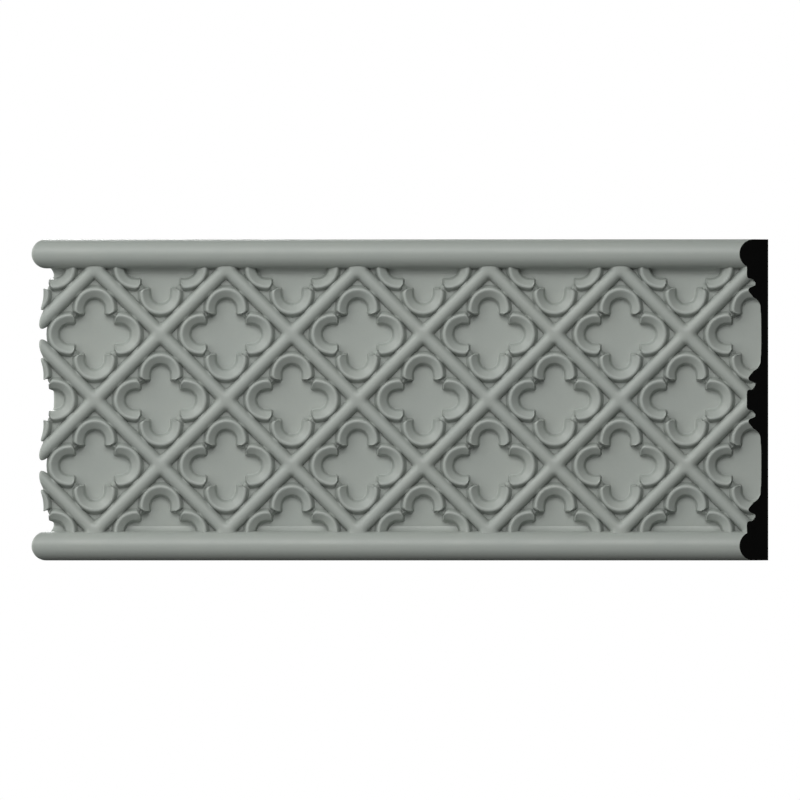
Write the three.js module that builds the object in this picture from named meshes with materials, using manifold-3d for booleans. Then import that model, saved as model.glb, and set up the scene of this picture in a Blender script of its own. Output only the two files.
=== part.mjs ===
// Panel moulding: one cast strip with a flat back, made to be fixed to a wall.
// A half-round bead runs along each long edge. Between the beads a square lattice of
// ribs stands on the ground, and each of its cells frames a quatrefoil: four horseshoe
// bands around a sunk floor. Both ends are cut for a mitre, parallel to each other.
//
// X runs along the strip and Z across it. The back lies on Y = 0, the carving faces -Y,
// and a height is measured from the back towards the front.

import * as THREE from "three";
import { mergeVertices } from "three/addons/utils/BufferGeometryUtils.js";
import Module from "manifold-3d";

const wasm = await Module();
wasm.setup();

// The strip, in millimetres and degrees
const length = 461.5; // along the back, from end cut to end cut
const width = 209.55;
const projection = 19.05;
const mitreAngle = 45;
const beadWidth = 19.05;
const groundHeight = 8.7;

// The lattice
const cellsAcross = 2;
const firstCell = 64.95; // from the left end of the back to a cell centre on the middle row
const ribWidth = 8.2;
const ribHeight = 14.3;

// The quatrefoil in each cell
const floorHeight = 5.1;
const lobeReach = 16.1; // from the cell centre to a lobe centre
const lobeInnerRadius = 7.1;
const lobeHeight = 13.4;
const shoulderHeight = 10.9; // of the band where it drops to the floor
const bandWidth = 7.3;
const crestSetback = 1.7; // of the band's crest from its outer foot
const floorCorner = 10.7; // of the floor's outline on a diagonal, along each axis
const notchWidth = 1.9; // between the ends of neighbouring bands

// How finely the round stretches are cut
const lobeSides = 11; // of a whole circle
const openSides = 4; // of those, where a lobe opens to the middle of its cell
const beadSides = 10;
const ribSides = 4;

const paint = new THREE.MeshStandardMaterial({
  name: "painted_sage_grey",
  color: 0x8a918a,
  roughness: 0.55,
  metalness: 0,
  flatShading: true,
});

const toRadians = THREE.MathUtils.degToRad;
const beadRadius = beadWidth / 2;
const beadMiddle = width / 2 - beadRadius; // from the middle of the strip
const innerEdge = width / 2 - beadWidth; // where the field meets a bead
const repeat = (width - 2 * beadWidth) / cellsAcross;
const cellStart = firstCell - length / 2;
const bandSides = lobeSides - openSides;
const crestRadius = lobeInnerRadius + bandWidth - crestSetback;
const buried = groundHeight / 2; // height at which raised carving starts, inside the ground
const cutTop = lobeHeight + projection; // clear above every band
const endSlope = Math.tan(toRadians(mitreAngle)); // of the end cuts, per height

// The stretch that is modelled before the ends are cut
const runStart = -length / 2 - projection * endSlope - beadWidth;
const runEnd = length / 2 + beadWidth;

// The faces of an index that have three different corners.
function wholeFaces(index) {
  const faces = [];
  for (let i = 0; i < index.length; i += 3) {
    const [a, b, c] = index.slice(i, i + 3);
    if (a !== b && b !== c && c !== a) faces.push(a, b, c);
  }
  return faces;
}

// A closed three.js geometry as a solid.
function solid(geometry) {
  const bare = geometry.clone();
  bare.deleteAttribute("normal");
  bare.deleteAttribute("uv");
  const merged = mergeVertices(bare);
  return new wasm.Manifold(
    new wasm.Mesh({
      numProp: 3,
      vertProperties: new Float32Array(merged.attributes.position.array),
      triVerts: new Uint32Array(wholeFaces(merged.index.array)),
    }),
  );
}

// A solid as a three.js geometry, with corners that all but touch drawn together.
function geometryOf(body) {
  const mesh = body.getMesh();
  const raw = new THREE.BufferGeometry();
  raw.setAttribute("position", new THREE.BufferAttribute(mesh.vertProperties, 3));
  raw.setIndex(new THREE.BufferAttribute(mesh.triVerts, 1));
  const geometry = mergeVertices(raw, 0.01);
  geometry.setIndex(wholeFaces(geometry.index.array));
  geometry.computeVertexNormals();
  return geometry;
}

const join = (bodies) => bodies.reduce((whole, body) => whole.add(body));

// A flat outline in X and Z, standing from one height to another.
function slab(outline, lower, upper) {
  const shape = new THREE.Shape(outline.map(([x, z]) => new THREE.Vector2(x, z)));
  const geometry = new THREE.ExtrudeGeometry(shape, { depth: upper - lower, bevelEnabled: false });
  geometry.rotateX(Math.PI / 2);
  geometry.translate(0, -lower, 0);
  return geometry;
}

// A section in Z and height, run along X between two places.
function run(section, start, end) {
  const shape = new THREE.Shape(section.map(([z, h]) => new THREE.Vector2(z, h)));
  const geometry = new THREE.ExtrudeGeometry(shape, { depth: end - start, bevelEnabled: false });
  geometry.translate(0, 0, start);
  const toStrip = new THREE.Matrix4().makeBasis(
    new THREE.Vector3(0, 0, 1),
    new THREE.Vector3(0, -1, 0),
    new THREE.Vector3(1, 0, 0),
  );
  return geometry.applyMatrix4(toStrip);
}

const rectangle = (x0, x1, z0, z1) => [[x0, z0], [x1, z0], [x1, z1], [x0, z1]];

// The points of a half ellipse from one foot to the other, over a middle and a base height.
function arch(middle, base, halfWidth, rise, sides) {
  return Array.from({ length: sides + 1 }, (_, i) => {
    const turn = (Math.PI * i) / sides;
    return [middle + halfWidth * Math.cos(turn), base + rise * Math.sin(turn)];
  });
}

// The bead along one edge: a half round on straight sides.
function bead(side) {
  const middle = side * beadMiddle;
  const round = arch(middle, projection - beadRadius, beadRadius, beadRadius, beadSides);
  const section = [[middle + beadRadius, 0], ...round, [middle - beadRadius, 0]];
  return solid(run(section, runStart, runEnd));
}

// The ground between the beads, let into both of them.
function ground() {
  return solid(slab(rectangle(runStart, runEnd, -beadMiddle, beadMiddle), 0, groundHeight));
}

// One rib of the lattice: it crosses the middle of the strip at x, leans to one side by
// 45 degrees, and ends inside the beads.
function rib(x, lean) {
  const reach = beadMiddle * Math.SQRT2;
  const round = arch(0, groundHeight, ribWidth / 2, ribHeight - groundHeight, ribSides);
  const section = [[ribWidth / 2, buried], ...round, [-ribWidth / 2, buried]];
  const geometry = run(section, -reach, reach);
  geometry.rotateY((-lean * Math.PI) / 4);
  geometry.translate(x, 0, 0);
  return solid(geometry);
}

// Angle of a band's corner, from the direction in which its lobe points.
const cornerTurn = (corner) => ((corner - bandSides / 2) * 2 * Math.PI) / lobeSides;

// One lobe of the cell around x and z, before the floor is sunk: a disc whose rim rises to
// the band's crest and slopes in to the middle, kept to its own quarter of the cell.
function lobe(x, z, outward) {
  const wallSlope = crestSetback / (lobeHeight - groundHeight);
  const dip = (lobeHeight - shoulderHeight) / (crestRadius - lobeInnerRadius);
  const profile = [
    [0, buried],
    [crestRadius + wallSlope * (lobeHeight - buried), buried],
    [crestRadius, lobeHeight],
    [0, lobeHeight - dip * crestRadius],
  ];
  const points = profile.map(([r, h]) => new THREE.Vector2(r, h));
  const disc = new THREE.LatheGeometry(points, lobeSides, cornerTurn(0) + Math.PI / 2);
  disc.rotateX(Math.PI);
  disc.translate(lobeReach, 0, 0);
  const tip = notchWidth * Math.SQRT1_2;
  const quarter = slab([[tip, 0], [repeat, tip - repeat], [repeat, repeat - tip]], 0, cutTop);
  const placed = [disc, quarter].map((geometry) => {
    geometry.rotateY(-outward);
    geometry.translate(x, 0, z);
    return solid(geometry);
  });
  return placed[0].intersect(placed[1]);
}

// The sunk floor's outline in one cell: an arc in each lobe, and between the arcs the ends
// of two bands, which meet in a corner on the cell's diagonal.
function floorOutline(x, z) {
  const arc = Array.from({ length: bandSides + 1 }, (_, corner) => {
    const turn = cornerTurn(corner);
    return [lobeReach + lobeInnerRadius * Math.cos(turn), lobeInnerRadius * Math.sin(turn)];
  });
  return [0, 1, 2, 3].flatMap((quarter) => {
    const turn = (quarter * Math.PI) / 2;
    const place = ([u, v]) => [
      x + u * Math.cos(turn) - v * Math.sin(turn),
      z + u * Math.sin(turn) + v * Math.cos(turn),
    ];
    return [...arc, [floorCorner, floorCorner]].map(place);
  });
}

const pocket = (x, z) => solid(slab(floorOutline(x, z), floorHeight, cutTop));

// The places between two bounds that are a whole number of repeats from a start.
function places(start, low, high) {
  const first = Math.ceil((low - start) / repeat);
  const last = Math.floor((high - start) / repeat);
  return Array.from({ length: last - first + 1 }, (_, i) => start + (first + i) * repeat);
}

// Centres of the lattice's cells, in whole rows and in the rows halfway between them.
function cellCentres() {
  const rows = Array.from({ length: 2 * cellsAcross + 1 }, (_, i) => i - cellsAcross);
  return rows.flatMap((row) => {
    const start = cellStart + (row % 2 === 0 ? 0 : repeat / 2);
    const across = places(start, runStart - repeat / 2, runEnd + repeat / 2);
    return across.map((x) => [x, (row * repeat) / 2]);
  });
}

// The lobes of one cell that stand clear of the beads.
function lobesOf([x, z]) {
  const edge = innerEdge + lobeReach / 2;
  return [0, 1, 2, 3]
    .map((quarter) => (quarter * Math.PI) / 2)
    .filter((outward) => Math.abs(z + lobeReach * Math.sin(outward)) < edge)
    .map((outward) => lobe(x, z, outward));
}

// The strip's plan between its two end cuts, over the whole width.
function endCuts() {
  const reach = 2 * projection;
  const slant = reach * endSlope;
  const half = length / 2;
  const plan = [[-half, 0], [half, 0], [half - slant, reach], [-half - slant, reach]];
  const shape = new THREE.Shape(plan.map(([x, h]) => new THREE.Vector2(x, h)));
  const geometry = new THREE.ExtrudeGeometry(shape, { depth: 2 * width, bevelEnabled: false });
  geometry.translate(0, 0, -width);
  geometry.rotateX(Math.PI);
  return solid(geometry);
}

function moulding() {
  const cells = cellCentres();
  const crossings = places(cellStart + repeat / 2, runStart - width / 2, runEnd + width / 2);
  const bands = join(cells.flatMap(lobesOf));
  const pockets = join(cells.map((cell) => pocket(...cell)));
  const ribs = join(crossings.flatMap((x) => [rib(x, 1), rib(x, -1)]));
  const field = ground().add(bands).subtract(pockets).add(ribs);
  return field.add(bead(1)).add(bead(-1)).intersect(endCuts());
}

const mesh = new THREE.Mesh(geometryOf(moulding()), paint);
mesh.name = "panel_moulding";

const part = new THREE.Group();
part.name = "panel_moulding_part";
part.add(mesh);

export default part;
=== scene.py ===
"""Looks of the panel moulding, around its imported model.

The strip is one cast piece. It is modelled here in fine mesh, in metres: X runs along it,
Z across it, the back lies on Y = 0 and the carving faces -Y. A height is measured from the
back towards the front.
"""

import math

import bmesh
import bpy
from mathutils import Matrix, Vector


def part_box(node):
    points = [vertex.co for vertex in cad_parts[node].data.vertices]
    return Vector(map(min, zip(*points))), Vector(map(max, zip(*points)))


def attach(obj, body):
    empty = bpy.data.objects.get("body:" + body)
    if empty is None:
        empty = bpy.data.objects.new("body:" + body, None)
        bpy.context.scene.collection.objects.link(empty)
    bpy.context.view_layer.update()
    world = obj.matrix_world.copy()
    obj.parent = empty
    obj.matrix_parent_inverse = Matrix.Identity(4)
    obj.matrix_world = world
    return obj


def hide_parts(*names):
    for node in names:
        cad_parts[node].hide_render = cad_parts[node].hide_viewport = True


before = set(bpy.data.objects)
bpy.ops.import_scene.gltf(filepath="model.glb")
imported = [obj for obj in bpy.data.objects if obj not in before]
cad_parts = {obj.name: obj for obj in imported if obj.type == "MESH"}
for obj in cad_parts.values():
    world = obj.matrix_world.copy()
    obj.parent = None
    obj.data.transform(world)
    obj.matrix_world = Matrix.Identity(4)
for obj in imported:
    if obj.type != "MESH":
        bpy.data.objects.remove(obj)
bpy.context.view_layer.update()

# The strip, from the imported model
STRIP = "panel_moulding"
low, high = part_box(STRIP)
width = high.z - low.z
projection = high.y - low.y
right_end = high.x  # of the back
left_end = low.x + projection  # of the back

# Its main sizes
bead_width = 0.01905
bead_radius = bead_width / 2
bead_middle = width / 2 - bead_radius
inner_edge = width / 2 - bead_width
ground_height = 0.0086
first_cell = 0.06495  # from the left end of the back to a cell centre on the middle row
repeat = inner_edge  # two cells lie between the beads
cell_start = left_end + first_cell
spare = 0.004  # by which cutters reach past what they cut
touching = 1e-6  # points closer than this are one point
smooth_angle = 38  # in degrees: edges sharper than this stay sharp

# The stretch that is modelled before the ends are cut
run_start = left_end - projection - bead_width
run_end = right_end + bead_width

# The bead and the hollow at its foot
bead_segments = 12  # of each quarter round
bead_stretches = 100
cove_reach = 0.0034
cove_rise = 0.0017
cove_bend = (0.35, 0.3)  # shares of its reach and rise at which it bends most
cove_rounding = 0.45  # share of its reach that the bend is rounded over
cove_segments = 4
cove_lap = 0.0001  # by which its edge lies under the floor

# The ribs
rib_width = 0.0098
rib_height = 0.0142
rib_root = 0.004  # by which a rib is let into the ground
rib_top_share = 0.62  # of the cage's width that its top keeps
rib_steps = (0.0068, 0.0105, 0.0155, 0.0205, 0.0255)  # from a crossing, along each arm
limit_width = (5 + rib_top_share) / 6  # what subdivision leaves of the cage's width
limit_height = 23 / 24  # and of its height
subdivisions = 2

# The quatrefoil
lobe_reach = 0.0161
floor_height = 0.0050
band_root = 0.0040
band_foot = 0.0065  # radius of the band's inner foot, on the floor
shoulder_radius = 0.0080
shoulder_height = 0.0098
haunch_radius = 0.0105
haunch_height = 0.0118
crest_radius = 0.0127
crest_height = 0.0134
brow_radius = 0.0142  # where the band turns down to its outer wall
brow_height = 0.0126
wall_radius = 0.0150
wall_height = 0.0103
apron_radius = 0.0162  # of the outer wall's foot, on the ground
apron_lap = 0.0002  # by which that foot is let into the ground
band_rounds = {  # corner of the section: how far its rounding reaches, and in how many segments
    3: (0.0005, 2),
    4: (0.0007, 1),
    5: (0.0009, 3),
    6: (0.0007, 2),
    7: (0.0004, 1),
}
foot_reach = 0.0013
band_turns = 8  # of a quarter turn
side_squeeze = 0.06  # by which the band lies closer in where its tips start
tip_length = 0.0026
tip_narrowing = 0.0034
tip_turns = 5
tip_drop = 0.10  # of the band's height, lost by the end of its tip
tip_draft = 0.0013
tip_end_steps = ((0.3, 0.76), (1, 0.13))  # share of the draft, and of the height that is left

# The web that fills the gap between a band and the rib beside it
web_radius = 0.0156  # of its middle, from the lobe's centre
web_half_length = 0.0058
web_half_width = 0.0025
web_root = 0.0082
web_height = 0.0124
web_sides = 12
web_rings = 8

# The sunk floor
pocket_radius = 0.0090
pocket_corner = 0.0124
pocket_slope = 0.0019
pocket_turns = 8
dish_steps = ((0.0022, 0.00022), (0.0035, 0.00012))


# Modelling helpers

def pick(piece):
    """Selects one object alone and makes it the active one."""
    bpy.ops.object.select_all(action="DESELECT")
    piece.select_set(True)
    bpy.context.view_layer.objects.active = piece


def cube(name, corner, far_corner):
    """A box between two corners, with its place in its mesh."""
    corner, far_corner = Vector(corner), Vector(far_corner)
    bpy.ops.object.select_all(action="DESELECT")
    bpy.ops.mesh.primitive_cube_add(size=1, location=(corner + far_corner) / 2)
    piece = bpy.context.object
    piece.name = name
    piece.scale = far_corner - corner
    bpy.ops.object.transform_apply(location=True, rotation=True, scale=True)
    return piece


def panel(name, outline):
    """A flat face with the given corners, which run once around it."""
    bpy.ops.object.select_all(action="DESELECT")
    bpy.ops.mesh.primitive_circle_add(vertices=len(outline), radius=1, fill_type="NGON")
    piece = bpy.context.object
    piece.name = name
    for vertex, corner in zip(piece.data.vertices, outline):
        vertex.co = corner
    return piece


def choose(kind, test):
    """In edit mode, selects the vertices, edges or faces that pass a test, and no others."""
    modes = {"verts": "VERT", "edges": "EDGE", "faces": "FACE"}
    bpy.ops.mesh.select_mode(type=modes[kind])
    bpy.ops.mesh.select_all(action="DESELECT")
    mesh = bmesh.from_edit_mesh(bpy.context.object.data)
    for element in getattr(mesh, kind):
        if test(element):
            element.select_set(True)
    mesh.select_flush_mode()
    bmesh.update_edit_mesh(bpy.context.object.data)


def extrude(step):
    """Pulls the selection out by a step and leaves the new end selected."""
    bpy.ops.mesh.extrude_region_move(TRANSFORM_OT_translate={"value": step})


def copies(piece, places):
    """Copies of a piece, each with its own mesh, moved by the given matrices and joined."""
    made = []
    for place in places:
        copy = piece.copy()
        copy.data = piece.data.copy()
        copy.data.transform(place)
        bpy.context.collection.objects.link(copy)
        made.append(copy)
    bpy.data.objects.remove(piece)
    bpy.ops.object.select_all(action="DESELECT")
    for copy in made:
        copy.select_set(True)
    bpy.context.view_layer.objects.active = made[0]
    bpy.ops.object.join()
    return bpy.context.object


def cut(piece, tool, operation):
    """Joins a tool to a piece, or cuts with it, and uses the tool up."""
    pick(piece)
    modifier = piece.modifiers.new(operation.lower(), "BOOLEAN")
    modifier.operation = operation
    modifier.solver = "MANIFOLD"
    modifier.object = tool
    bpy.ops.object.modifier_apply(modifier=modifier.name)
    bpy.data.objects.remove(tool)
    return piece


def close_up(piece):
    """Welds a piece's seams, fills its open ends and points its faces outwards."""
    pick(piece)
    bpy.ops.object.mode_set(mode="EDIT")
    bpy.ops.mesh.select_all(action="SELECT")
    bpy.ops.mesh.remove_doubles(threshold=touching)
    bpy.ops.mesh.fill_holes(sides=0)
    bpy.ops.mesh.select_all(action="SELECT")
    bpy.ops.mesh.normals_make_consistent(inside=False)
    bpy.ops.object.mode_set(mode="OBJECT")
    return piece


# The lattice's places

def places(start, from_x, to_x):
    """Every place between two bounds that is a whole number of repeats from a start."""
    first = math.ceil((from_x - start) / repeat)
    last = math.floor((to_x - start) / repeat)
    return [start + count * repeat for count in range(first, last + 1)]


def lattice_points(start):
    """Points of one of the two lattices, in rows half a repeat apart across the strip."""
    points = []
    for row in range(-2, 3):
        shift = start + (row % 2) * repeat / 2
        for x in places(shift, run_start - repeat / 2, run_end + repeat / 2):
            points.append(Vector((x, 0, row * repeat / 2)))
    return points


cell_centres = lattice_points(cell_start)
crossings = lattice_points(cell_start + repeat / 2)


# The strip's forms

def make_bead(side):
    """The half-round bead along one edge, on straight sides."""
    middle = side * bead_middle
    piece = cube(
        "bead",
        (run_start, -projection, middle - bead_radius),
        (run_end, 0, middle + bead_radius),
    )
    bpy.ops.object.mode_set(mode="EDIT")

    def along(edge):
        a, b = (vertex.co for vertex in edge.verts)
        return abs(a.x - b.x) > repeat

    def front(edge):
        return along(edge) and all(vertex.co.y < -bead_radius for vertex in edge.verts)

    choose("edges", front)
    bpy.ops.mesh.bevel(
        offset=bead_radius,
        segments=bead_segments,
        profile=0.5,
        affect="EDGES",
        clamp_overlap=False,
    )
    bpy.ops.mesh.select_all(action="SELECT")
    bpy.ops.mesh.remove_doubles(threshold=touching)
    choose("edges", along)
    bpy.ops.mesh.subdivide(number_cuts=bead_stretches - 1)
    bpy.ops.object.mode_set(mode="OBJECT")
    return piece


def make_bead_cove(side):
    """The hollow at the bead's foot, which shows where a half cell's floor meets the bead."""
    edge = side * inner_edge
    inward = -side
    corners = [
        (edge - inward * bead_radius, floor_height - spare / 2),
        (edge - inward * bead_radius, floor_height + cove_rise),
        (edge, floor_height + cove_rise),
        (edge + inward * cove_reach * cove_bend[0], floor_height + cove_rise * cove_bend[1]),
        (edge + inward * cove_reach, floor_height - cove_lap),
        (edge + inward * cove_reach, floor_height - spare / 2),
    ]
    piece = panel("bead_cove", [(run_start, -height, z) for z, height in corners])
    bpy.ops.object.mode_set(mode="EDIT")
    choose("verts", lambda vertex: abs(vertex.co.z - corners[3][0]) < touching)
    rounding = cove_reach * cove_rounding
    bpy.ops.mesh.bevel(offset=rounding, segments=cove_segments, affect="VERTICES")
    choose("faces", lambda face: True)
    extrude((run_end - run_start, 0, 0))
    bpy.ops.object.mode_set(mode="OBJECT")
    return close_up(piece)


def make_ground():
    """The ground between the beads, let into both of them."""
    return cube(
        "ground",
        (run_start, -ground_height, -bead_middle - spare),
        (run_end, 0, bead_middle + spare),
    )


def arm_root(face, direction, half):
    """Whether a face of the crossing's middle block is one from which an arm starts."""
    centre = face.calc_center_median()
    centre.y = 0
    return face.normal.dot(direction) > 0.9 and (centre - direction * half).length < 1e-5


def make_crossing():
    """A crossing of two ribs with half of each rib's length, as a cage under subdivision."""
    half = rib_width / 2 / limit_width
    rise = (rib_height - ground_height) / limit_height
    top = -ground_height - rise
    arm = repeat / 2 * math.sqrt(0.5)
    piece = cube("crossing", (-half, top, -half), (half, -ground_height, half))
    bpy.ops.object.mode_set(mode="EDIT")
    choose("faces", lambda face: face.normal.y > 0.9)
    extrude((0, rib_root, 0))
    for direction in (Vector((1, 0, 0)), Vector((-1, 0, 0)), Vector((0, 0, 1)), Vector((0, 0, -1))):
        choose("faces", lambda face: arm_root(face, direction, half))
        reached = half
        for reach in (*rib_steps, arm):
            extrude(direction * (reach - reached))
            reached = reach
        bpy.ops.mesh.delete(type="ONLY_FACE")
    for axis in (0, 2):
        choose(
            "verts",
            lambda vertex: vertex.co.y < top + 1e-5 and abs(vertex.co[axis]) < half + 1e-5,
        )
        scale = [1, 1, 1]
        scale[axis] = rib_top_share
        bpy.ops.transform.resize(value=scale, center_override=(0, 0, 0))
    bpy.ops.object.mode_set(mode="OBJECT")
    modifier = piece.modifiers.new("rounding", "SUBSURF")
    modifier.levels = subdivisions
    modifier.render_levels = subdivisions
    bpy.ops.object.modifier_apply(modifier=modifier.name)
    return piece


def make_lattice():
    """The ribs of the whole strip, crossing by crossing, welded where their halves meet."""
    turned = Matrix.Rotation(math.pi / 4, 4, "Y")
    lattice = copies(make_crossing(), [Matrix.Translation(p) @ turned for p in crossings])
    lattice.name = "lattice"
    return close_up(lattice)


def ring_angle(point):
    """Angle of a point of the band, as seen from its lobe's centre, from where it points."""
    return math.atan2(abs(point.z), point.x)


def make_band():
    """One horseshoe band around the origin, open towards -X, with both of its tips."""
    corners = [
        (band_foot - foot_reach / 2, band_root),
        (band_foot - foot_reach / 2, floor_height),
        (band_foot, floor_height + foot_reach / 5),
        (shoulder_radius, shoulder_height),
        (haunch_radius, haunch_height),
        (crest_radius, crest_height),
        (brow_radius, brow_height),
        (wall_radius, wall_height),
        (apron_radius, ground_height - apron_lap),
        (apron_radius, band_root),
    ]
    piece = panel("band", [(r, -height, 0) for r, height in corners])
    bpy.ops.object.mode_set(mode="EDIT")
    for corner, (reach, segments) in band_rounds.items():
        place = Vector((corners[corner][0], -corners[corner][1], 0))
        choose("verts", lambda vertex: (vertex.co - place).length < touching)
        bpy.ops.mesh.bevel(offset=reach, segments=segments, affect="VERTICES")
    choose("faces", lambda face: True)
    bpy.ops.mesh.spin(
        steps=band_turns, angle=math.pi / 2, center=(0, 0, 0), axis=(0, 1, 0), dupli=False
    )
    for turn in range(band_turns + 1):
        angle = math.pi / 2 * turn / band_turns
        scale = 1 - side_squeeze * math.sin(angle) ** 3
        choose("verts", lambda vertex: abs(ring_angle(vertex.co) - angle) < 0.01)
        bpy.ops.transform.resize(value=(scale, 1, scale), center_override=(0, 0, 0))
    choose("faces", lambda face: all(abs(vertex.co.x) < touching for vertex in face.verts))
    mesh = bmesh.from_edit_mesh(piece.data)
    ends = [face for face in mesh.faces if face.select]
    side = math.copysign(1, ends[0].calc_center_median().z)
    narrow = 1 - side_squeeze
    pivot = (0, -band_root, side * narrow * (band_foot + shoulder_radius) / 2)
    full = narrow * wall_radius - abs(pivot[2])
    was_advance, was_width, was_height = 0, 1, 1
    for turn in range(1, tip_turns + 1):
        angle = math.pi / 2 * turn / tip_turns
        advance = tip_length * math.sin(angle)
        across = 1 - tip_narrowing / full * (1 - math.cos(angle))
        upright = 1 - tip_drop * (1 - math.cos(angle))
        extrude((was_advance - advance, 0, 0))
        bpy.ops.transform.resize(
            value=(1, upright / was_height, across / was_width), center_override=pivot
        )
        was_advance, was_width, was_height = advance, across, upright
    for share, drop in tip_end_steps:
        extrude((was_advance - tip_length - tip_draft * share, 0, 0))
        bpy.ops.transform.resize(value=(1, drop / was_height, 1), center_override=pivot)
        was_advance, was_height = tip_length + tip_draft * share, drop
    choose("faces", lambda face: all(abs(v.co.z) < 1e-7 for v in face.verts))
    bpy.ops.mesh.delete(type="FACE")
    bpy.ops.object.mode_set(mode="OBJECT")
    modifier = piece.modifiers.new("other_half", "MIRROR")
    modifier.use_axis = (False, False, True)
    modifier.use_clip = True
    modifier.merge_threshold = touching
    bpy.ops.object.modifier_apply(modifier=modifier.name)
    return close_up(piece)


def lobe_spots(quarters):
    """Places of the lobes that point in the given directions, clear of the beads."""
    keep = inner_edge + lobe_reach / 2
    spots = []
    for centre in cell_centres:
        for quarter in quarters:
            turned = Matrix.Rotation(quarter * math.pi / 2, 4, "Y")
            spot = Matrix.Translation(centre) @ turned @ Matrix.Translation((lobe_reach, 0, 0))
            if abs(spot.translation.z) < keep:
                spots.append(spot)
    return spots


def make_bands(quarters):
    """The bands of all cells that point in the given directions."""
    bands = copies(make_band(), lobe_spots(quarters))
    bands.name = "bands"
    return bands


def make_webs():
    """The webs that join each band to the two ribs beside it."""
    bpy.ops.object.select_all(action="DESELECT")
    bpy.ops.mesh.primitive_uv_sphere_add(segments=web_sides, ring_count=web_rings, radius=1)
    web = bpy.context.object
    web.scale = (web_half_width, web_half_length, web_height - web_root)
    web.rotation_euler = (math.pi / 2, 0, 0)
    bpy.ops.object.transform_apply(location=True, rotation=True, scale=True)
    spots = []
    for spot in lobe_spots(range(4)):
        for side in (1, -1):
            turned = Matrix.Rotation(side * math.pi / 4, 4, "Y")
            spots.append(spot @ turned @ Matrix.Translation((web_radius, -web_root, 0)))
    webs = copies(web, spots)
    webs.name = "webs"
    return webs


def make_pockets():
    """The sunk floors of all cells, as cutters: quatrefoils with sloping walls and a dish."""
    arc = []
    for turn in range(pocket_turns + 1):
        angle = math.pi * (turn / pocket_turns - 0.5)
        arc.append((lobe_reach + pocket_radius * math.cos(angle), pocket_radius * math.sin(angle)))
    outline = []
    for quarter in range(4):
        turned = Matrix.Rotation(quarter * math.pi / 2, 2)
        for point in (*arc, (pocket_corner, pocket_corner)):
            x, z = turned @ Vector(point)
            outline.append((x, -ground_height - spare, z))
    piece = panel("pocket", outline)
    bpy.ops.object.mode_set(mode="EDIT")
    choose("faces", lambda face: True)
    extrude((0, spare, 0))
    sink(pocket_slope, ground_height - floor_height)
    for reach, drop in dish_steps:
        sink(reach, drop)
    bpy.ops.object.mode_set(mode="OBJECT")
    close_up(piece)
    pockets = copies(piece, [Matrix.Translation(centre) for centre in cell_centres])
    pockets.name = "pockets"
    return pockets


def sink(reach, drop):
    """Draws the selected face in by a reach and sinks it towards the back."""
    bpy.ops.mesh.inset(thickness=reach, depth=0, use_even_offset=True)
    bpy.ops.transform.translate(value=(0, drop, 0))


def make_end_cuts():
    """The strip's plan between its two mitre cuts, as a block over its whole width."""
    reach = 2 * projection
    plan = [
        (left_end + spare, spare),
        (right_end + spare, spare),
        (right_end - reach, -reach),
        (left_end - reach, -reach),
    ]
    piece = panel("end_cuts", [(x, y, -width) for x, y in plan])
    bpy.ops.object.mode_set(mode="EDIT")
    choose("faces", lambda face: True)
    extrude((0, 0, 2 * width))
    bpy.ops.object.mode_set(mode="OBJECT")
    return close_up(piece)


def make_strip():
    """The whole strip as one closed mesh."""
    strip = cut(make_ground(), make_pockets(), "DIFFERENCE")
    for side in (1, -1):
        cut(strip, make_bead_cove(side), "UNION")
    cut(strip, make_bands((0, 2)), "UNION")
    cut(strip, make_bands((1, 3)), "UNION")
    cut(strip, make_lattice(), "UNION")
    cut(strip, make_webs(), "UNION")
    field = cube(
        "field",
        (run_start - repeat, -2 * projection, -bead_middle),
        (run_end + repeat, projection, bead_middle),
    )
    cut(strip, field, "INTERSECT")
    for side in (1, -1):
        cut(strip, make_bead(side), "UNION")
    cut(strip, make_end_cuts(), "INTERSECT")
    strip.name = "carved_strip"
    pick(strip)
    bpy.ops.object.shade_smooth_by_angle(angle=math.radians(smooth_angle))
    modifier = strip.modifiers.new("even_shading", "WEIGHTED_NORMAL")
    modifier.keep_sharp = True
    bpy.ops.object.modifier_apply(modifier=modifier.name)
    return strip


strip = make_strip()


# Finishes

def shader_group(name, inputs, outputs):
    """An empty node group with float and colour sockets, and its two end nodes."""
    group = bpy.data.node_groups.new(name, "ShaderNodeTree")
    for label, default in inputs.items():
        kind = "NodeSocketColor" if isinstance(default, tuple) else "NodeSocketFloat"
        socket = group.interface.new_socket(name=label, in_out="INPUT", socket_type=kind)
        socket.default_value = default
    for label, kind in outputs.items():
        group.interface.new_socket(name=label, in_out="OUTPUT", socket_type=kind)
    return group, group.nodes.new("NodeGroupInput"), group.nodes.new("NodeGroupOutput")


def spread(tree, value, from_low, from_high, to_low, to_high):
    """A value stretched from one range to another and kept inside it."""
    node = tree.nodes.new("ShaderNodeMapRange")
    tree.links.new(value, node.inputs["Value"])
    node.inputs["From Min"].default_value = from_low
    node.inputs["From Max"].default_value = from_high
    node.inputs["To Min"].default_value = to_low
    node.inputs["To Max"].default_value = to_high
    return node.outputs["Result"]


def arithmetic(tree, operation, first, second):
    """One sum on two values, each a socket or a plain number."""
    node = tree.nodes.new("ShaderNodeMath")
    node.operation = operation
    for slot, value in enumerate((first, second)):
        if isinstance(value, (int, float)):
            node.inputs[slot].default_value = value
        else:
            tree.links.new(value, node.inputs[slot])
    return node.outputs[0]


def blend(tree, factor, first, second):
    """A mix of a colour socket with another one, or with a plain colour."""
    node = tree.nodes.new("ShaderNodeMix")
    node.data_type = "RGBA"
    tree.links.new(factor, node.inputs["Factor"])
    tree.links.new(first, node.inputs[6])
    if isinstance(second, tuple):
        node.inputs[7].default_value = second
    else:
        tree.links.new(second, node.inputs[7])
    return node.outputs[2]


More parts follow.
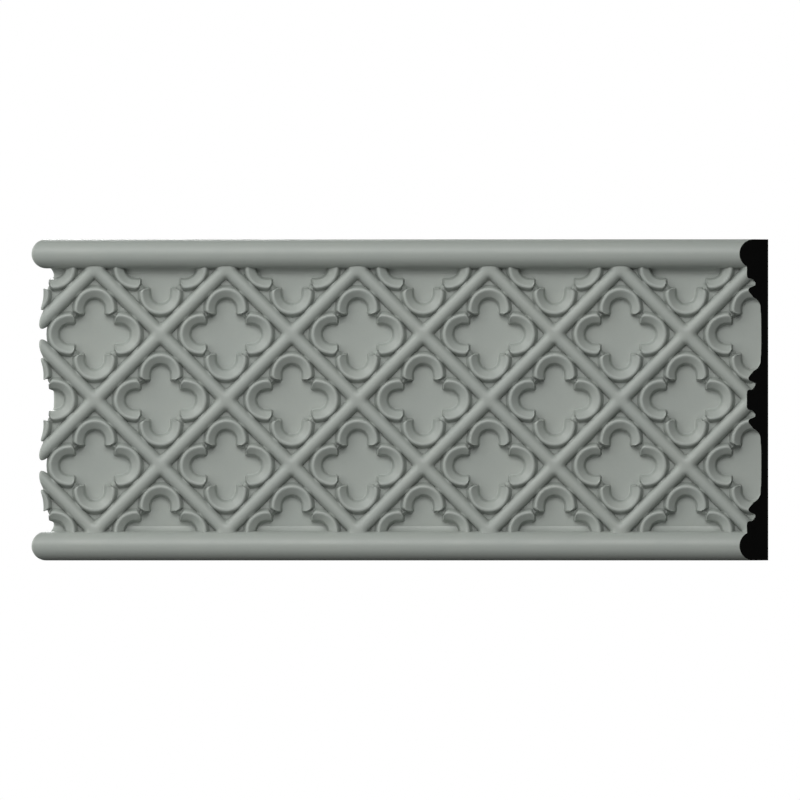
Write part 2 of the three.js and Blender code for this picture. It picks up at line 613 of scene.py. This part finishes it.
def noise(tree, scale, detail, roughness=0.5, along=None):
    """Noise over the piece's own coordinates, at a scale per metre.

    A socket given as along scales X alone, so that a small value draws the noise out.
    """
    place = tree.nodes.new("ShaderNodeTexCoord")
    node = tree.nodes.new("ShaderNodeTexNoise")
    if along is None:
        tree.links.new(place.outputs["Object"], node.inputs["Vector"])
    else:
        factors = tree.nodes.new("ShaderNodeCombineXYZ")
        factors.inputs["Y"].default_value = 1
        factors.inputs["Z"].default_value = 1
        tree.links.new(along, factors.inputs["X"])
        stretch = tree.nodes.new("ShaderNodeVectorMath")
        stretch.operation = "MULTIPLY"
        tree.links.new(place.outputs["Object"], stretch.inputs[0])
        tree.links.new(factors.outputs[0], stretch.inputs[1])
        tree.links.new(stretch.outputs[0], node.inputs["Vector"])
    if isinstance(scale, (int, float)):
        node.inputs["Scale"].default_value = scale
    else:
        tree.links.new(scale, node.inputs["Scale"])
    node.inputs["Detail"].default_value = detail
    node.inputs["Roughness"].default_value = roughness
    return node.outputs["Fac"]


def make_mottle():
    """Slow drifts of a coat's colour and gloss."""
    tree, given, result = shader_group(
        "mottle",
        {"Colour": (0.5, 0.5, 0.5, 1), "Drift": (0.5, 0.5, 0.5, 1), "Scale": 30.0, "Strength": 0.1},
        {"Colour": "NodeSocketColor", "Gloss": "NodeSocketFloat"},
    )
    broad = noise(tree, given.outputs["Scale"], 4, 0.6)
    fine = noise(tree, arithmetic(tree, "MULTIPLY", given.outputs["Scale"], 11), 3)
    both = arithmetic(tree, "ADD", arithmetic(tree, "MULTIPLY", broad, 0.65),
                      arithmetic(tree, "MULTIPLY", fine, 0.35))
    share = spread(tree, both, 0.35, 0.65, 0, 1)
    factor = arithmetic(tree, "MULTIPLY", share, given.outputs["Strength"])
    colour = blend(tree, factor, given.outputs["Colour"], given.outputs["Drift"])
    tree.links.new(colour, result.inputs["Colour"])
    tree.links.new(share, result.inputs["Gloss"])
    return tree


def make_grain():
    """The skin of a coat over a casting: fine peel or sanding streaks, and low pits."""
    tree, given, result = shader_group(
        "coat_grain",
        {"Peel": 900.0, "Along": 1.0, "Pits": 260.0, "Pit depth": 0.3},
        {"Height": "NodeSocketFloat", "Streaks": "NodeSocketFloat"},
    )
    peel = noise(tree, given.outputs["Peel"], 3, along=given.outputs["Along"])
    lumps = noise(tree, given.outputs["Pits"], 2)
    pits = spread(tree, lumps, 0.28, 0.40, -1, 0)
    depth = arithmetic(tree, "MULTIPLY", pits, given.outputs["Pit depth"])
    height = arithmetic(tree, "ADD", peel, depth)
    tree.links.new(height, result.inputs["Height"])
    tree.links.new(spread(tree, height, 0.25, 0.65, 1, 0), result.inputs["Streaks"])
    return tree


def make_painted_shade_and_highlight():
    """Painted shade and painted highlight: a darker colour where the surface lies deep between
    others, a lighter one on its edges.
    """
    tree, given, result = shader_group(
        "painted_crevice_shade_and_edge_highlight",
        {
            "Colour": (0.5, 0.5, 0.5, 1),
            "Crevice colour": (0.1, 0.1, 0.1, 1),
            "Edge colour": (0.7, 0.7, 0.7, 1),
            "Reach": 0.004,
            "Edge reach": 0.001,
            "Painted shade": 0.5,
            "Painted highlight": 0.3,
        },
        {"Colour": "NodeSocketColor", "Depth": "NodeSocketFloat"},
    )
    masks = []
    # The first mask picks the crevices, where shade is painted into the colour; the second picks the
    # edges, where a highlight is painted.
    for label, inside, full, none in (("Reach", False, 0.35, 0.80), ("Edge reach", True, 0.35, 0.62)):
        cover = tree.nodes.new("ShaderNodeAmbientOcclusion")
        cover.inside = inside
        cover.samples = 8
        tree.links.new(given.outputs[label], cover.inputs["Distance"])
        masks.append(spread(tree, cover.outputs["AO"], full, none, 1, 0))
    # How much painted shade and painted highlight each point gets.
    painted_shade_amount = arithmetic(tree, "MULTIPLY", masks[0], given.outputs["Painted shade"])
    edge = arithmetic(tree, "MULTIPLY", masks[1], given.outputs["Painted highlight"])
    painted_highlight_colour = blend(tree, edge, given.outputs["Colour"], given.outputs["Edge colour"])
    shaded = blend(tree, painted_shade_amount, painted_highlight_colour, given.outputs["Crevice colour"])
    tree.links.new(shaded, result.inputs["Colour"])
    # Depth gives out the mask of the painted shade.
    tree.links.new(masks[0], result.inputs["Depth"])
    return tree


mottle = make_mottle()
grain = make_grain()
# This group paints shade into the colour in crevices and a highlight onto edges.
painted_crevice_shade = make_painted_shade_and_highlight()


def place_group(tree, group, values):
    """A group's node in a material, with its inputs set by name."""
    node = tree.nodes.new("ShaderNodeGroup")
    node.node_tree = group
    for label, value in values.items():
        node.inputs[label].default_value = value
    return node


def coat(name, colour, drift, look):
    """A material made of the three shared groups around one shader."""
    material = bpy.data.materials.new(name)
    material.use_nodes = True
    tree = material.node_tree
    shader = tree.nodes["Principled BSDF"]
    shader.inputs["Specular IOR Level"].default_value = look["specular"]
    tint = place_group(
        tree,
        mottle,
        {
            "Colour": (*colour, 1),
            "Drift": (*drift, 1),
            "Scale": look["mottle_scale"],
            "Strength": look["mottle"],
        },
    )
    # Colours of the painted shade in crevices, which the sanding streaks share, and of the painted
    # highlight on edges.
    painted_shade_and_streak_colour = [channel * look["painted_shade_and_streak_tone"] for channel in colour]
    painted_highlight_colour = [channel * look["painted_highlight_tone"] for channel in colour]
    # Paints shade into the colour in crevices and a highlight onto edges.
    shade = place_group(
        tree,
        painted_crevice_shade,
        {
            "Crevice colour": (*painted_shade_and_streak_colour, 1),
            "Edge colour": (*painted_highlight_colour, 1),
            "Reach": look["reach"],
            "Edge reach": look["painted_highlight_reach"],
            "Painted shade": look["painted_crevice_shade"],
            "Painted highlight": look["edge"],
        },
    )
    skin = place_group(
        tree,
        grain,
        {
            "Peel": look["peel"],
            "Along": look["along"],
            "Pits": look["pits"],
            "Pit depth": look["pit_depth"],
        },
    )
    marks = arithmetic(tree, "MULTIPLY", skin.outputs["Streaks"], look["streaks"])
    streaked = blend(tree, marks, tint.outputs["Colour"], (*painted_shade_and_streak_colour, 1))
    tree.links.new(streaked, shade.inputs["Colour"])
    tree.links.new(shade.outputs["Colour"], shader.inputs["Base Color"])
    low_gloss, high_gloss = look["roughness"]
    roughness = spread(tree, tint.outputs["Gloss"], 0, 1, low_gloss, high_gloss)
    tree.links.new(roughness, shader.inputs["Roughness"])
    bump = tree.nodes.new("ShaderNodeBump")
    bump.inputs["Strength"].default_value = 1
    bump.inputs["Distance"].default_value = look["relief"]
    tree.links.new(skin.outputs["Height"], bump.inputs["Height"])
    tree.links.new(bump.outputs["Normal"], shader.inputs["Normal"])
    return material


# Each finish below also carries painted shade in its crevices and a painted highlight on its edges,
# set by its reach, edge and tone values.
sage_paint = coat(
    "sage_paint",
    (0.352, 0.379, 0.348),
    (0.332, 0.362, 0.338),
    {
        "specular": 0.5,
        "mottle_scale": 22,
        "mottle": 0.7,
        "painted_shade_and_streak_tone": 0.40,
        "painted_highlight_tone": 1.35,
        "reach": 0.005,
        "painted_highlight_reach": 0.0012,
        "painted_crevice_shade": 0.45,
        "edge": 0.7,
        "roughness": (0.42, 0.52),
        "peel": 900,
        "along": 1,
        "streaks": 0.03,
        "pits": 240,
        "pit_depth": 0.5,
        "relief": 0.00003,
    },
)
cast_back = coat(
    "cast_back",
    (0.370, 0.385, 0.355),
    (0.310, 0.328, 0.300),
    {
        "specular": 0.35,
        "mottle_scale": 14,
        "mottle": 1.0,
        "painted_shade_and_streak_tone": 0.6,
        "painted_highlight_tone": 1.1,
        "reach": 0.003,
        "painted_highlight_reach": 0.0010,
        "painted_crevice_shade": 0.3,
        "edge": 0.2,
        "roughness": (0.66, 0.80),
        "peel": 520,
        "along": 0.06,
        "streaks": 0.35,
        "pits": 150,
        "pit_depth": 1.2,
        "relief": 0.00010,
    },
)
cut_face = coat(
    "dark_cut_face",
    (0.0022, 0.0022, 0.0022),
    (0.0050, 0.0048, 0.0046),
    {
        "specular": 0.04,
        "mottle_scale": 60,
        "mottle": 0.8,
        "painted_shade_and_streak_tone": 0.5,
        "painted_highlight_tone": 1.2,
        "reach": 0.003,
        "painted_highlight_reach": 0.0010,
        "painted_crevice_shade": 0.3,
        "edge": 0.2,
        "roughness": (0.88, 0.98),
        "peel": 1500,
        "along": 1,
        "streaks": 0.2,
        "pits": 500,
        "pit_depth": 0.8,
        "relief": 0.00004,
    },
)
strip.data.materials.clear()
for finish in (sage_paint, cut_face, cast_back):
    strip.data.materials.append(finish)
on_plane = 1e-5  # a face whose middle is closer than this to a plane lies in it
for face in strip.data.polygons:
    x, y, z = face.center
    on_left_cut = abs(x - (left_end + y)) < on_plane
    on_right_cut = abs(x - (right_end + y)) < on_plane
    if on_left_cut or on_right_cut:
        face.material_index = 1
    elif y > -on_plane:
        face.material_index = 2
    else:
        face.material_index = 0

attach(strip, "root")
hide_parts(STRIP)

# The view
picture_width = 0.5222  # across the whole frame
view_centre = Vector((-0.0096, 0, -0.0001))
lens = 1000
sensor = 36
camera_data = bpy.data.cameras.new("camera")
camera_data.lens = lens
camera_data.sensor_width = sensor
camera = bpy.data.objects.new("camera", camera_data)
camera.location = view_centre - Vector((0, picture_width * lens / sensor, 0))
camera.rotation_euler = (math.pi / 2, 0, 0)
bpy.context.collection.objects.link(camera)
bpy.context.scene.camera = camera


def soft_light(name, tilt, clock, power, size=1.1, distance=2.4):
    """A square soft light that looks at the strip from a tilt off its front, in degrees.

    The clock angle says where around the view it stands: 0 above, 90 to the left.
    """
    tilt, clock = math.radians(tilt), math.radians(clock)
    direction = Vector(
        (
            -math.sin(tilt) * math.sin(clock),
            -math.cos(tilt),
            math.sin(tilt) * math.cos(clock),
        )
    )
    data = bpy.data.lights.new(name, "AREA")
    data.size = size
    data.energy = power
    light = bpy.data.objects.new(name, data)
    light.location = direction * distance
    light.rotation_euler = direction.to_track_quat("Z", "Y").to_euler()
    bpy.context.collection.objects.link(light)


soft_light("overhead", 30, 0, 30)
soft_light("upper_left", 50, 45, 6)
soft_light("left", 50, 90, 11)
soft_light("raking", 70, 45, 16)
soft_light("below", 30, 180, 6)
soft_light("back_upper", 145, 30, 40)
soft_light("back_right", 125, 270, 20)

# The floor lies far below the strip. It is seen, but it neither shades nor lights the strip
floor_drop = 0.6
floor_size = 30
bpy.ops.object.select_all(action="DESELECT")
bpy.ops.mesh.primitive_plane_add(size=floor_size, location=(0, 0, -floor_drop))
floor = bpy.context.object
floor.name = "floor"
bpy.ops.object.transform_apply(location=True, rotation=True, scale=True)
floor.visible_diffuse = False
floor.visible_glossy = False
floor.visible_shadow = False
pale = bpy.data.materials.new("pale_floor")
pale.use_nodes = True
pale_shader = pale.node_tree.nodes["Principled BSDF"]
pale_shader.inputs["Base Color"].default_value = (0.10, 0.10, 0.10, 1)
pale_shader.inputs["Roughness"].default_value = 1
pale_shader.inputs["Specular IOR Level"].default_value = 0
pale_shader.inputs["Emission Color"].default_value = (0.90, 0.90, 0.89, 1)
pale_shader.inputs["Emission Strength"].default_value = 1
floor.data.materials.append(pale)

world = bpy.data.worlds.new("studio")
world.use_nodes = True
bpy.context.scene.world = world
nodes, links = world.node_tree.nodes, world.node_tree.links
ambient = nodes["Background"]
ambient.inputs["Strength"].default_value = 0.03
ambient.inputs["Color"].default_value = (1, 1, 1, 1)
backdrop = nodes.new("ShaderNodeBackground")
backdrop.inputs["Color"].default_value = (1, 1, 1, 1)
rays = nodes.new("ShaderNodeLightPath")
choice = nodes.new("ShaderNodeMixShader")
links.new(rays.outputs["Is Camera Ray"], choice.inputs[0])
links.new(ambient.outputs[0], choice.inputs[1])
links.new(backdrop.outputs[0], choice.inputs[2])
links.new(choice.outputs[0], nodes["World Output"].inputs["Surface"])

bpy.context.scene.view_settings.view_transform = "Standard"
